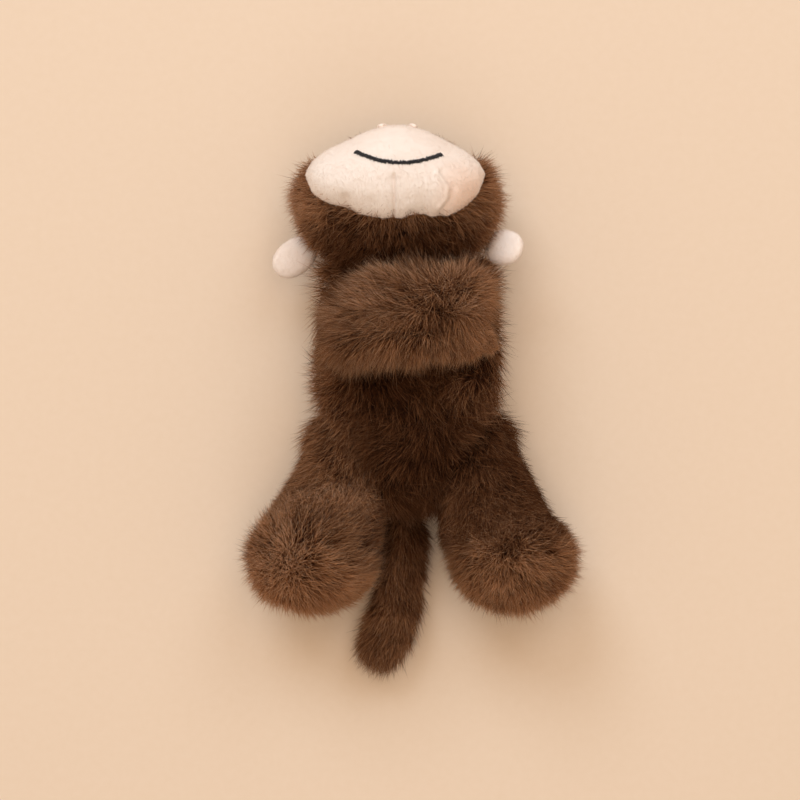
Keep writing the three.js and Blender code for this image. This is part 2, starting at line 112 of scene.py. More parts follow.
class Graph:
    """A node tree that is written as expressions."""

    def __init__(self, tree):
        self.tree = tree

    def node(self, kind, settings=None, inputs=None, output=0):
        """Adds a node, and gives the wire of one of its outputs."""
        made = self.tree.nodes.new(kind)
        for key, value in (settings or {}).items():
            if key == "stops":
                self.set_stops(made.color_ramp.elements, value)
            else:
                setattr(made, key, value)
        for key, value in (inputs or {}).items():
            self.feed(self.find(made.inputs, key), value)
        return Wire(self, self.find(made.outputs, output)) if made.outputs else None

    def output(self, wire, name):
        """Another output of the node that a wire comes from."""
        return Wire(self, self.find(wire.socket.node.outputs, name))

    def feed(self, socket, value):
        if isinstance(value, Wire):
            self.tree.links.new(value.socket, socket)
        elif socket.type in ("VECTOR", "RGBA") and isinstance(value, (int, float)):
            socket.default_value = [value] * len(socket.default_value)
        elif socket.type == "RGBA":
            socket.default_value = light(*value)
        else:
            socket.default_value = value

    @staticmethod
    def find(sockets, key):
        shown = [socket for socket in sockets if socket.enabled]
        return shown[key] if isinstance(key, int) else next(s for s in shown if s.name == key)

    @staticmethod
    def set_stops(elements, stops):
        for _ in stops[2:]:
            elements.new(1)
        for element, (place, colour) in zip(elements, stops):
            element.position = place
            element.color = light(*colour)

    def own_place(self):
        """Where a point lies in its piece's own frame."""
        return self.node("ShaderNodeTexCoord", None, None, "Object")

    def strand_map(self):
        """A strand's tone, and how far along it a point lies, from 0 at the root to 1 at the tip."""
        place = self.node("ShaderNodeUVMap", {"uv_map": "OFBake"})
        return place.part("X"), place.part("Y")

    def noise(self, place, scale, detail, output=0, **more):
        inputs = {"Vector": place, "Scale": scale, "Detail": detail, **more}
        return self.node("ShaderNodeTexNoise", None, inputs, output)

    def mix(self, share, first, second):
        inputs = {"Factor": share, "A": first, "B": second}
        return self.node("ShaderNodeMix", {"data_type": "RGBA"}, inputs, "Result")

    def bump(self, height, strength, distance):
        inputs = {"Strength": strength, "Distance": distance, "Height": height}
        return self.node("ShaderNodeBump", None, inputs)

    def vector(self, x, y, z=0):
        return self.node("ShaderNodeCombineXYZ", None, {"X": x, "Y": y, "Z": z})

    def stored(self, name, kind="FLOAT"):
        return self.node("GeometryNodeInputNamedAttribute", {"data_type": kind}, {"Name": name})

    def store(self, geometry, name, value, kind="FLOAT", domain="POINT"):
        settings = {"data_type": kind, "domain": domain}
        inputs = {"Geometry": geometry, "Name": name, "Value": value}
        return self.node("GeometryNodeStoreNamedAttribute", settings, inputs)

    def chance(self, low, high, seed):
        kind = "FLOAT_VECTOR" if isinstance(low, tuple) else "FLOAT"
        inputs = {"Min": low, "Max": high, "Seed": seed}
        return self.node("FunctionNodeRandomValue", {"data_type": kind}, inputs)

    def moved(self, geometry, **move):
        """A geometry with its points set to a Position or moved by an Offset."""
        return self.node("GeometryNodeSetPosition", None, {"Geometry": geometry, **move})

    def aligned(self, axis, way, pivot="AUTO", **more):
        settings = {"axis": axis, "pivot_axis": pivot}
        return self.node("FunctionNodeAlignRotationToVector", settings, {"Vector": way, **more})

    def copies(self, points, instance, turn, scale):
        """Copies of a geometry on points, as plain faces."""
        inputs = {"Points": points, "Instance": instance, "Rotation": turn, "Scale": scale}
        laid = self.node("GeometryNodeInstanceOnPoints", None, inputs)
        return self.node("GeometryNodeRealizeInstances", None, {"Geometry": laid})

    def give(self, name, geometry, material):
        """Ends a tree in a smooth geometry of one material."""
        smooth = self.node("GeometryNodeSetShadeSmooth", None, {"Geometry": geometry})
        inputs = {"Geometry": smooth, "Material": material}
        self.node("NodeGroupOutput", None, {name: self.node("GeometryNodeSetMaterial", None, inputs)})


# Materials


def new_material(name):
    material = bpy.data.materials.new(name)
    material.use_nodes = True
    material.node_tree.nodes.clear()
    return material, Graph(material.node_tree)


def shade(graph, specular, surface):
    """Ends a material in one shader."""
    inputs = {"Specular IOR Level": specular, **surface}
    shader = graph.node("ShaderNodeBsdfPrincipled", None, inputs)
    graph.node("ShaderNodeOutputMaterial", None, {"Surface": shader})


# Places along a strand from root to tip, and the colours there in the darkest and the palest fur
STRAND_STOPS = (0.0, 0.4, 0.75, 1.0)
DARK_STRAND = ((18, 6, 2), (40, 17, 6), (84, 46, 21), (148, 97, 61))
PALE_STRAND = ((48, 22, 9), (122, 73, 41), (208, 151, 109), (253, 215, 183))


def fur_material():
    """Strands, dark at the root and tan at the tip, in tones from the darkest fur to the palest."""
    material, graph = new_material("brown_fur")
    tone, along = graph.strand_map()
    ends = []
    for colours in (DARK_STRAND, PALE_STRAND):
        stops = list(zip(STRAND_STOPS, colours))
        ends.append(graph.node("ShaderNodeValToRGB", {"stops": stops}, {"Fac": along}))
    shade(graph, 0.07, {
        "Base Color": graph.mix(tone, *ends),
        "Roughness": 0.7 - along * 0.12,
    })
    return material


def hide_material():
    """The dark woven backing and underwool below the strands."""
    material, graph = new_material("brown_underwool")
    place = graph.own_place()
    wool = graph.noise(place, 900, 3)
    patch = graph.noise(place, 60, 2)
    shade(graph, 0.15, {
        "Base Color": graph.mix(wool * 0.7 + patch * 0.3, (30, 13, 6), (80, 43, 23)),
        "Roughness": 0.85 + wool * 0.1,
        "Normal": graph.bump(wool, 0.8, 0.6 * MM),
    })
    return material


# Middle of the painted warm shade on the cloth of the left cheek, and how far round it spreads
PAINTED_CHEEK_SHADE_MIDDLE = (29 * MM, 98 * MM, 84 * MM)
PAINTED_CHEEK_SHADE_SPREAD = 16 * MM


def short_pile_material(name, rosy):
    """Pale brushed cloth: a fine nap in soft patches that are brushed one way or the other, and painted warm shade
    on the left cheek.
    """
    material, graph = new_material(name)
    place = graph.own_place()
    nap = graph.noise(place, 1400, 2)
    brushed = graph.noise(place, 55, 3, Roughness=0.6)
    bloom = graph.noise(place, 20, 1)
    cream = graph.mix(brushed, (254, 243, 234), (255, 249, 244))
    colour = graph.mix(bloom * rosy, cream, (252, 222, 204))
    apart = graph.node(
        "ShaderNodeVectorMath", {"operation": "DISTANCE"}, {0: place, 1: PAINTED_CHEEK_SHADE_MIDDLE}, "Value"
    )
    # Painted warm shade on the left cheek, with its edge broken by the brushed patches
    cheek = (1.4 - apart / PAINTED_CHEEK_SHADE_SPREAD + (brushed - 0.5)).at_least(0).at_most(1)
    colour = graph.mix(cheek * 0.55, colour, (243, 196, 164))
    shade(graph, 0.2, {
        "Sheen Weight": 0.25,
        "Sheen Roughness": 0.5,
        "Base Color": graph.mix(nap * 0.15, colour, (244, 213, 195)),
        "Roughness": 0.8 + nap * 0.15,
        "Normal": graph.bump(nap * 0.5 + brushed * 0.4, 0.35, 0.4 * MM),
    })
    return material


def nap_material():
    """The short standing pile of the cream cloth."""
    material, graph = new_material("cream_nap")
    tone, along = graph.strand_map()
    plain = graph.mix(along, (253, 236, 224), (255, 247, 241))
    rosy = graph.mix(along, (250, 222, 206), (255, 241, 231))
    shade(graph, 0.2, {
        "Base Color": graph.mix(tone, rosy, plain),
        "Roughness": 0.85 - along * 0.1,
    })
    return material


def speckled_material(name, dark, pale, *, scale, detail, specular, roughness, spread, bump=None):
    """A surface with one fine unevenness in colour, polish and, with a bump, height."""
    material, graph = new_material(name)
    speck = graph.noise(graph.own_place(), scale, detail)
    surface = {"Base Color": graph.mix(speck, dark, pale), "Roughness": roughness + speck * spread}
    if bump:
        surface["Normal"] = graph.bump(speck, *bump)
    shade(graph, specular, surface)
    return material


# Meshes


def coordinates(mesh):
    """A mesh's points in millimetres."""
    values = np.empty(len(mesh.vertices) * 3)
    mesh.vertices.foreach_get("co", values)
    return values.reshape(-1, 3) / MM


def set_coordinates(mesh, points):
    mesh.vertices.foreach_set("co", (points * MM).ravel())
    mesh.update()


def normals(mesh):
    values = np.empty(len(mesh.vertices) * 3, np.float32)
    mesh.vertex_normals.foreach_get("vector", values)
    return values.reshape(-1, 3).astype(float)


def add_field(mesh, name, values):
    """Gives each point of a mesh a named number or vector."""
    wide = values.ndim == 2
    attribute = mesh.attributes.new(name, "FLOAT_VECTOR" if wide else "FLOAT", "POINT")
    attribute.data.foreach_set("vector" if wide else "value", values.astype(np.float32).ravel())


def node_mesh(node):
    return frame["nodes"][node].data


def node_box(*nodes):
    """The lowest and highest corner of CAD nodes."""
    corners = [np.array(corner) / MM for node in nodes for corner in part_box(node)]
    return np.min(corners, axis=0), np.max(corners, axis=0)


def panels_of(body):
    return [node for node in bodies[body] if node.endswith("panel")]


def add_object(name, data):
    made = bpy.data.objects.new(name, data)
    scene.collection.objects.link(made)
    return made


def evaluated(piece):
    """A new mesh: what an object's modifiers make."""
    graph = bpy.context.evaluated_depsgraph_get()
    return bpy.data.meshes.new_from_object(piece.evaluated_get(graph))


def settle(piece):
    """Gives an object the mesh that its modifiers make, and removes them."""
    mesh = evaluated(piece)
    piece.modifiers.clear()
    piece.data = mesh


def modify(piece, kind, **settings):
    """Gives an object the mesh that one modifier makes of it."""
    modifier = piece.modifiers.new(kind.lower(), kind)
    for key, value in settings.items():
        setattr(modifier, key, value)
    settle(piece)


def loaded(nodes):
    """A form that holds copies of CAD nodes."""
    form = bmesh.new()
    for node in nodes:
        form.from_mesh(node_mesh(node))
    return form


def hull_faces(form):
    """The faces of the tight skin round a form, which are added to it."""
    hull = bmesh.ops.convex_hull(form, input=form.verts)
    return [item for item in hull["geom"] if isinstance(item, bmesh.types.BMFace)]


def object_of(name, form):
    """A new object of a form, which is used up."""
    mesh = bpy.data.meshes.new(name)
    form.to_mesh(mesh)
    form.free()
    return add_object(name, mesh)


def welded(name, nodes):
    """One new object of copies of CAD nodes."""
    form = loaded(nodes)
    bmesh.ops.remove_doubles(form, verts=form.verts, dist=1e-6)
    return object_of(name, form)


def hulled(name, nodes):
    """One new object: the tight skin round copies of CAD nodes."""
    piece = welded(name, nodes)
    form = bmesh.new()
    form.from_mesh(piece.data)
    skin = set(hull_faces(form))
    inner = [face for face in form.faces if face not in skin]
    bmesh.ops.delete(form, geom=inner, context="FACES_ONLY")
    loose = [vert for vert in form.verts if not vert.link_faces]
    bmesh.ops.delete(form, geom=loose, context="VERTS")
    bmesh.ops.recalc_face_normals(form, faces=form.faces)
    form.to_mesh(piece.data)
    form.free()
    return piece


def keep_largest(mesh):
    """Leaves only the largest connected shell of a mesh."""
    form = bmesh.new()
    form.from_mesh(mesh)
    left = set(form.verts)
    shells = []
    while left:
        shell, edge = set(), {left.pop()}
        while edge:
            shell |= edge
            edge = {link.other_vert(vert) for vert in edge for link in vert.link_edges} & left
            left -= edge
        shells.append(shell)
    outer = max(shells, key=len)
    bmesh.ops.delete(form, geom=[vert for vert in form.verts if vert not in outer])
    form.to_mesh(mesh)
    form.free()


# Pressure inside a stuffed cloth, and the frames that it has to swell
STUFFING_PRESSURE = 4
SWELL_FRAMES = 20


def swollen(piece, cap):
    """Puffs a closed cloth up from inside; no point moves farther than the cap."""
    start = coordinates(piece.data)
    cloth = piece.modifiers.new("swell", "CLOTH")
    cloth.settings.use_pressure = True
    cloth.settings.uniform_pressure_force = STUFFING_PRESSURE
    cloth.settings.effector_weights.gravity = 0
    for step in range(1, SWELL_FRAMES + 1):
        scene.frame_set(step)
    settle(piece)
    scene.frame_set(1)
    moved = coordinates(piece.data) - start
    far = np.linalg.norm(moved, axis=1, keepdims=True)
    set_coordinates(piece.data, start + moved * np.minimum(1, cap / np.maximum(far, 1e-6)))


def padded_form(piece, voxel, smoothing, inset, cap, finish):
    """Makes a solid a stuffed skin: evened out, drawn in, and swollen back by the fibre inside."""
    modify(piece, "REMESH", mode="VOXEL", voxel_size=voxel * MM)
    keep_largest(piece.data)
    modify(piece, "SMOOTH", factor=0.5, iterations=smoothing)
    set_coordinates(piece.data, coordinates(piece.data) - inset * normals(piece.data))
    swollen(piece, cap)
    modify(piece, "SUBSURF", levels=1, render_levels=1)
    points = coordinates(piece.data)
    points[:, 2] = np.maximum(points[:, 2], GROUND)
    set_coordinates(piece.data, points)
    piece.data.shade_smooth()
    piece.data.materials.clear()
    piece.data.materials.append(finish)


def search_tree(meshes):
    """A search tree of the faces of meshes."""
    points, faces = [], []
    for mesh in meshes:
        start = len(points)
        points += [Vector(point) for point in coordinates(mesh)]
        faces += [[start + corner for corner in face.vertices] for face in mesh.polygons]
    return BVHTree.FromPolygons(points, faces)


def hull_planes(nodes):
    """The outward planes of the tight skin round CAD nodes."""
    form = loaded(nodes)
    faces = hull_faces(form)
    middle = np.mean([np.array(vert.co) for vert in form.verts], axis=0)
    planes = []
    for face in faces:
        normal = np.array(face.normal)
        at = normal @ np.array(face.verts[0].co)
        turn = 1 if at > normal @ middle else -1
        planes.append([*(turn * normal), turn * at / MM])
    form.free()
    return np.array(planes)


def depth_inside(points, planes):
    """How far each point lies inside a hull; negative outside."""
    return np.min(planes[:, 3] - points @ planes[:, :3].T, axis=1)


# Fur


def new_tree(name, result, inputs):
    """A node tree's graph, and a function that gives the wire of one of its named inputs."""
    tree = bpy.data.node_groups.new(name, "GeometryNodeTree")
    for label, kind in inputs:
        tree.interface.new_socket(name=label, in_out="INPUT", socket_type="NodeSocket" + kind)
    tree.interface.new_socket(name=result, in_out="OUTPUT", socket_type="NodeSocketGeometry")
    graph = Graph(tree)
    given = graph.node("NodeGroupInput")
    return graph, lambda label: graph.output(given, label)


def fur_tree():
    """Strands on a hide. Each leans with the comb, droops, and gathers with its neighbours into locks."""
    graph, size = new_tree("combed_fur", "Fur", (
        ("Hide", "Geometry"), ("Width", "Float"), ("Droop", "Float"), ("Lock Size", "Float"),
        ("Gather", "Float"), ("Wildness", "Float"), ("Seed", "Int"), ("Finish", "Material"),
    ))
    stored = graph.stored
    seed = size("Seed")
    any_way = ((-1, -1, -1), (1, 1, 1))
    place = graph.node("GeometryNodeInputPosition")

    points = graph.node("GeometryNodeDistributePointsOnFaces", None, {
        "Mesh": size("Hide"), "Density": stored("strands"), "Seed": seed,
    })
    nap = graph.output(points, "Normal")
    per_lock = 1 / size("Lock Size")
    drift = graph.noise(place, per_lock * 0.6, 2, "Color") - 0.5
    clump = graph.noise(place, per_lock * 1.7, 1, "Color") - 0.5
    patch = graph.noise(place, per_lock * 0.4, 1)
    cells = "ShaderNodeTexVoronoi"
    lock = graph.node(cells, None, {"Vector": place, "Scale": per_lock}, "Position")
    wisp = graph.node(cells, None, {"Vector": place, "Scale": per_lock * 2.2}, "Position")
    wisp_chance = graph.output(wisp, "Color").part("X")
    comb = stored("comb", "FLOAT_VECTOR")
    stray = graph.chance(*any_way, seed + 1)
    astray = (drift * 2.0 + clump * 1.6 + stray * 0.5) * size("Wildness")
    lean = (nap * stored("lift") + comb + astray).unit()
    length = stored("reach") * (0.7 + patch * 0.6) * graph.chance(0.68, 1.08, seed + 2)
    frizz = graph.chance(*any_way, seed + 4) * 0.28
    droop = (comb * 0.4 - nap * 0.3 + frizz) * length * size("Droop")
    gather = ((lock - place) * 0.6 + (wisp - place) * 1.5) * size("Gather")
    points = graph.store(points, "bend", droop + gather, "FLOAT_VECTOR")
    uneven = (wisp_chance - 0.5) * 1.1 + graph.chance(-0.45, 0.45, seed + 3)
    tone = stored("tone") + uneven * (stored("tone") * 0.8 + 0.5).at_most(1)
    points = graph.store(points, "shade", tone.at_least(0.03).at_most(0.95))

    # One straight strand of unit length, drawn to a point at both ends
    strand = graph.node("GeometryNodeMeshUVSphere", None, {"Segments": 3, "Rings": 2, "Radius": 1})
    strand = graph.store(strand, "along", (place.part("Z") * 0.5 + 0.5) ** 1.25)
    strand = graph.store(strand, "edge", place.part("X"))
    upright = graph.vector(place.part("X"), place.part("Y"), stored("along"))
    strand = graph.moved(strand, Position=upright)

    scale = graph.vector(size("Width"), size("Width"), length)
    fur = graph.copies(points, strand, graph.aligned("Z", lean), scale)
    along = stored("along")
    fur = graph.moved(fur, Offset=stored("bend", "FLOAT_VECTOR") * along ** 1.6)
    above = graph.vector(place.part("X"), place.part("Y"), place.part("Z").at_least(GROUND * MM))
    fur = graph.moved(fur, Position=above)
    bake = graph.vector(stored("shade") + stored("edge") * 0.02, along * 0.96 + 0.02)
    fur = graph.store(fur, "OFBake", bake, "FLOAT2", "CORNER")
    graph.give("Fur", fur, size("Finish"))
    return graph.tree


# What the trees store on the way, and no finished piece keeps
SCRATCH = ("strands", "reach", "lift", "comb", "tone", "bend", "shade", "along", "edge", "across", "up")


def run_tree(piece, tree, sizes):
    """The plain mesh that a node tree makes on an object; sizes are its named inputs."""
    modifier = piece.modifiers.new(tree.name, "NODES")
    modifier.node_group = tree
    for socket in tree.interface.items_tree:
        if socket.in_out == "INPUT" and socket.name in sizes:
            modifier[socket.identifier] = sizes[socket.name]
    mesh = evaluated(piece)
    for attribute in list(mesh.attributes):
        if attribute.name in SCRATCH:
            mesh.attributes.remove(attribute)
    return mesh


FUR_TREE = fur_tree()
UNDERWOOL = hide_material()
SHORT_PILE = short_pile_material("cream_short_pile", 0.3)
EAR_PILE = short_pile_material("rosy_short_pile", 0.65)
# The strands of the long fur and of the cream cloth's nap
FUR_STRANDS = {
    "Width": 0.15 * MM, "Droop": 1.0, "Lock Size": 5.0 * MM, "Gather": 0.36, "Finish": fur_material(),
}
NAP_STRANDS = {
    "Width": 0.08 * MM, "Droop": 0.8, "Lock Size": 2.5 * MM, "Gather": 0.1, "Finish": nap_material(),
}


def grown(name, hide, count, weight, fields, sizes):
    """About count strands on a hide, spread by weight; fields are what varies over the hide."""
    bed = add_object(name + "_bed", hide.data.copy())
    area = np.zeros(len(bed.data.vertices))
    for face in bed.data.polygons:
        area[list(face.vertices)] += face.area / len(face.vertices)
    strands = weight * count / max(1e-9, float(np.sum(area * weight)))
    for key, values in {**fields, "strands": strands}.items():
        add_field(bed.data, key, values)
    fur = add_object(name, run_tree(bed, FUR_TREE, sizes))
    bpy.data.objects.remove(bed)
    return fur


def level_comb(flow, nap):
    """A flow laid into the surface, no longer than 1."""
    flat = flow - nap * np.sum(flow * nap, axis=1, keepdims=True)
    return flat / np.maximum(1, np.linalg.norm(flat, axis=1, keepdims=True))


def away_from(points, pole, soft):
    """Flow outward from an uneven whorl, fading at its middle."""
    uneven = np.sin(points[:, [1, 2, 0]] * 0.31 + 1) + np.sin(points[:, [2, 0, 1]] * 0.17)
    out = points + 3.5 * uneven - np.array(pole)
    return out / (np.linalg.norm(out, axis=1, keepdims=True) + soft)


def quarter_turn(flow):
    """A flow turned a quarter round the vertical, without its rise."""
    return np.stack([-flow[:, 1], flow[:, 0], np.zeros(len(flow))], axis=1)


def ramp(values, low, high):
    """0 up to low and 1 from high, with a smooth rise between."""
    share = np.clip((values - low) / (high - low), 0, 1)
    return share * share * (3 - 2 * share)


def near_place(points, place, spread):
    """1 at a place, fading round it."""
    return np.exp(-np.sum((points - np.array(place)) ** 2, axis=1) / spread ** 2)


# Another body's surface crowds the fur below it from this distance on
CROWDED = 12.0


def crowding(body, points, nap):
    """1 where another body's surface lies right over a point, 0 where none is near."""
    others = [node for other in bodies if other != body for node in panels_of(other)]
    search = search_tree(map(node_mesh, others))
    near = np.zeros(len(points))
    for i, (point, way) in enumerate(zip(points, nap)):
        found = search.ray_cast(Vector(point), Vector(way), CROWDED)
        if found[0] is not None:
            near[i] = 1 - found[3] / CROWDED
    return near


def share_of_panel(points, panel, other):
    """1 where a point is nearer to one sewn panel than to the other."""
    own, its = search_tree([node_mesh(panel)]), search_tree([node_mesh(other)])
    return np.array([
        own.find_nearest(Vector(point))[3] <= its.find_nearest(Vector(point))[3] for point in points
    ], float)


# Rounds of smoothing of each hide
HIDE_SMOOTHING = 4


def dress(body, *, voxel, inset, cap, flow, reach, lift, tone, counts, bare, wildness,
          shaped=None, thick=None, form=welded):
    """One stuffed body: a padded hide, and the fur of each of its two panels.

    Functions of the hide's points give the fur's flow, reach, lift and tone, and where it is bare or thick,
    and one shapes the hide. Fur that another body lies on stands up to it, shorter, closer and darker with painted
    shade.
    """
    # The head's later panels are the muzzle's
    panels = panels_of(body)[:2]
    stuffing = body + "_stuffing"
    hide = form(body + "_hide", [*panels, stuffing])
    padded_form(hide, voxel, HIDE_SMOOTHING, inset, cap, UNDERWOOL)
    points = coordinates(hide.data)
    if shaped:
        shaped(points, normals(hide.data))
        set_coordinates(hide.data, points)
        points = coordinates(hide.data)
    nap = normals(hide.data)
    near = crowding(body, points, nap)
    fields = {
        "comb": level_comb(flow(points) + near[:, None] * np.array((0, 0, 1.8)), nap),
        "reach": reach(points) * (1 - 0.2 * near) * MM,
        "lift": lift(points) * (1 - 0.7 * near),
        # Fur under another body is darkened: painted shade
        "tone": tone(points) * (1 - 0.5 * near),
    }
    seen = 0.3 + 0.7 * ramp(nap[:, 2], -0.4, 0.3)
    kept = np.where(bare(points), 0, seen)
    if thick:
        kept = kept * thick(points)
    for panel, other, count in zip(panels, reversed(panels), counts):
        weight = kept * share_of_panel(points, panel, other)
        sizes = {**FUR_STRANDS, "Wildness": wildness, "Seed": sum(map(ord, panel))}
        fur = grown(panel.replace("panel", "fur"), hide, count, weight, fields, sizes)
        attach(fur, body)
        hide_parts(panel)
    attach(hide, body)
    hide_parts(stuffing)


def constant(value):
    return lambda points: np.full(len(points), float(value))


# Torso and head

TORSO_HULL = hull_planes(panels_of("torso"))
HEAD_HULL = hull_planes(["head_front_panel", "head_back_panel"])
MUZZLE_HULL = hull_planes(["muzzle_lower_panel", "muzzle_upper_panel"])
muzzle_middle = sum(node_box("muzzle_lower_panel")) / 2
eye_middles = [np.mean(coordinates(node_mesh(side + "_eye")), axis=0) for side in SIDES]

# Radius of each hollow that a limb turns in
SOCKETS = {
    "left_hip_lift": 25, "right_hip_lift": 25, "tail_lift": 12,
    "left_shoulder_swing": 16.5, "right_shoulder_swing": 16.5,
}


def torso_flow(points):
    """Down the belly in loose swirls and out over the hips; up and out at the shoulders."""
    x, y, _ = points.T
    shoulder = ramp(y, 36, 60)
    out = x / 45 * (0.7 + 0.3 * shoulder)
    flow = np.stack([out, -1 + 1.5 * shoulder, np.full(len(points), -0.15)], axis=1)
    turn = 1.1 * np.sin(y / 11 + 1) * np.cos(x / 13 + 0.6) * (1 - shoulder)
    return flow * np.cos(turn)[:, None] + quarter_turn(flow) * np.sin(turn)[:, None]


def torso_reach(points):
    """Longest at the shoulders, and over the creases where the legs begin."""
    hips = [near_place(points, joint_place[side + "_hip_lift"], 36) for side in SIDES]
    return 15 + 3 * ramp(points[:, 1], 44, 60) + 4 * np.max(hips, axis=0)


def torso_tone(points):
    """Dark on the belly, partly darker fur and partly painted shade under the arms; paler at the sides."""
    # The belly's darkness is partly painted shade from the arms
    return 0.02 + 0.55 * ramp(np.abs(points[:, 0]), 20, 44)


def torso_bare(points):
    """True inside the head and in the hollows."""
    bare = depth_inside(points, HEAD_HULL) > 0
    for joint, radius in SOCKETS.items():
        bare |= np.linalg.norm(points - joint_place[joint], axis=1) < radius + 1
    return bare


def fill_sides(points, nap):
    """Fills the torso's sides out beside the arms, and its upper corners below the ears."""
    x, y, _ = points.T
    corner = ramp(y, 40, 58)
    flank = ramp(y, -32, -8)
    right, left = ramp(-x, 12, 36), ramp(x, 12, 36)
    x -= (3.5 * flank + 3 * corner) * right
    x += (1.5 * flank + 2.5 * corner) * left
    y += 4 * corner * np.maximum(right, left)


EYE_RADIUS, EYE_HEIGHT = 6.0, 5.0
# The face's hide rises to each eye: level out to the first distance, and not at all from the second
EYE_MOUND = (7, 24)


def eye_frame(side):
    """The way an eye faces, from its washer's middle to its own, and the top of its dome."""
    points = coordinates(node_mesh(side + "_eye"))
    washer = coordinates(node_mesh(side + "_eye_washer")).mean(axis=0)
    axis = points.mean(axis=0) - washer
    axis /= np.linalg.norm(axis)
    return axis, washer + axis * np.max((points - washer) @ axis)


def eye_distance(points):
    return np.min([np.linalg.norm(points - eye, axis=1) for eye in eye_middles], axis=0)


# Tufts that stand up before the muzzle's lower edge: place, and how far each spreads
TUFTS = [((5, 88, 62), 6), ((-42, 90, 56), 9), ((-32, 87, 58), 8)]
# Where fur stands over the muzzle's lower rim, which gives way to it: across, half width, and how far up
RIM_NOTCHES = [(-36.0, 12.0, 3.6), (5.5, 6.0, 2.2)]


def rim_lift(points):
    """How far up the muzzle's lower rim gives way."""
    lift = np.zeros(len(points))
    for across, width, height in RIM_NOTCHES:
        lift += height * np.exp(-(((points[:, 0] - across) / width) ** 2))
    return lift * ramp(muzzle_middle[1] - points[:, 1], 4, 22)


def muzzle_depth(points):
    """How far each point lies inside the muzzle, as its rim is in the end."""
    lowered = points.copy()
    lowered[:, 1] -= rim_lift(points)
    return depth_inside(lowered, MUZZLE_HULL)


def from_muzzle(points):
    """Level distance to the muzzle's middle line."""
    return np.abs(points[:, 0] - muzzle_middle[0])


def tuft_share(points):
    return np.max([near_place(points, place, spread) for place, spread in TUFTS], axis=0)


def brow_share(points):
    """1 on the face above the muzzle, where the fur is short and lies back to the crown."""
    return ramp(points[:, 1], 112, 124) * (1 - ramp(from_muzzle(points), 36, 50))


def head_flow(points):
    """Away from the muzzle; up in the tufts."""
    flow = away_from(points, muzzle_middle - (0, 6, 12), 8)
    tuft = tuft_share(points)[:, None]
    return flow * (1 - tuft) + np.array((0.3, 0.9, 0.6)) * tuft


def head_reach(points):
    """Short round the eyes, over the brow and under the chin."""
    chin = ramp(94 - points[:, 1], 0, 14) * (1 - 0.7 * ramp(from_muzzle(points), 20, 40))
    return (9 + 6 * ramp(eye_distance(points), 12, 26) - 5 * chin) * (1 - 0.6 * brow_share(points))


def head_lift(points):
    """Low at the muzzle and on the brow."""
    at_muzzle = ramp(muzzle_depth(points), -10, -2) * (1 - tuft_share(points))
    return 0.6 - 0.4 * np.maximum(at_muzzle, brow_share(points))


def head_tone(points):
    """Pale at the cheeks; dark under the chin, painted shade below the muzzle."""
    aside = ramp(from_muzzle(points), 30, 50)
    # Darker under the chin: painted shade of the muzzle
    return 0.66 + 0.5 * aside - 0.56 * ramp(98 - points[:, 1], 0, 16) * (1 - 0.5 * aside)


def head_bare(points):
    """True in the torso, under the muzzle and round the eyes."""
    under = (depth_inside(points, TORSO_HULL) > 6) | (muzzle_depth(points) > -1.7)
    return under | (eye_distance(points) < EYE_RADIUS + 0.5)


def shape_face(points, nap):
    """Sinks the face's hide where the muzzle is sewn on, and brings it up to the eyes."""
    sink = np.clip(muzzle_depth(points) + 3, 0, 20)
    points -= sink[:, None] * nap
    for side in SIDES:
        axis, top = eye_frame(side)
        base = top - axis * EYE_HEIGHT
        rise = (base - points) @ axis
        aside = np.linalg.norm(points - base + rise[:, None] * axis, axis=1)
        share = (1 - ramp(aside, *EYE_MOUND)) * (rise < 20)
        points += (np.maximum(rise, 0) * share)[:, None] * axis


dress(
    "torso", voxel=4.5, inset=4, cap=2, counts=(31000, 12000), wildness=1.5,
    flow=torso_flow, reach=torso_reach, lift=constant(0.45), tone=torso_tone, bare=torso_bare,
    shaped=fill_sides,
)
dress(
    "head", voxel=4, inset=5, cap=2, counts=(24000, 19000), wildness=1.0,
    flow=head_flow, reach=head_reach, lift=head_lift, tone=head_tone, bare=head_bare,
    shaped=shape_face, thick=lambda points: 1 + 2 * tuft_share(points),
)


def inside_torso(points):
    """True where a limb lies in the torso."""
    return depth_inside(points, TORSO_HULL) > 2


# Arms

# The arms' fur spreads from one whorl on the right arm, over both
ARM_WHORL = (20, 50, 78)
ARM_PARTING = 46
ARM_INSET = 4.5
# Where the two arms meet
ARM_GROOVE = 32.7
ARMS_HULL = hull_planes(panels_of("left_arm") + panels_of("right_arm"))


def arm_flow(points):
    """Out from the whorl, parted along the right arm: up above it, down below and on the left arm."""
    flow = away_from(points, ARM_WHORL, 12)
    part = np.clip((points[:, 1] - ARM_PARTING) / 13, -1, 1)
    flow[:, 1] += np.where(part > 0, part * ramp(points[:, 0], -42, -8), part)
    return flow


def shoulder_share(points):
    """1 on the right arm's upper end, which lies deep in the fur of the shoulder."""
    return ramp(points[:, 1] - 59 - 0.67 * points[:, 0], 0, 11)


def arm_edge(points):
    """1 at the arms' ends and along their lower edge, where the fur is short and lies close."""
    x, y, _ = points.T
    ends = np.maximum(0.65 * ramp(-x, 26, 42), ramp(x, 30, 46))
    below = 31 + 9 * ramp(x, -12, 34) - y
    return np.maximum(ends, ramp(below, 0, 14) * (0.7 + 0.3 * ramp(x, -38, -14)))


def arm_reach(points):
    """Longest in the middle; short on the edges, the right arm's upper end and to the lower left."""
    x, y, _ = points.T
    uneven = np.sin(x * 0.21 + 1) + np.sin(x * 0.47)
    short = 6 * ramp(x - y, -2, 24) + 7 * shoulder_share(points)
    return np.maximum(5, 20 - (10 - 1.6 * uneven) * arm_edge(points) - short)


def arm_lift(points):
    return 0.55 - 0.3 * arm_edge(points)


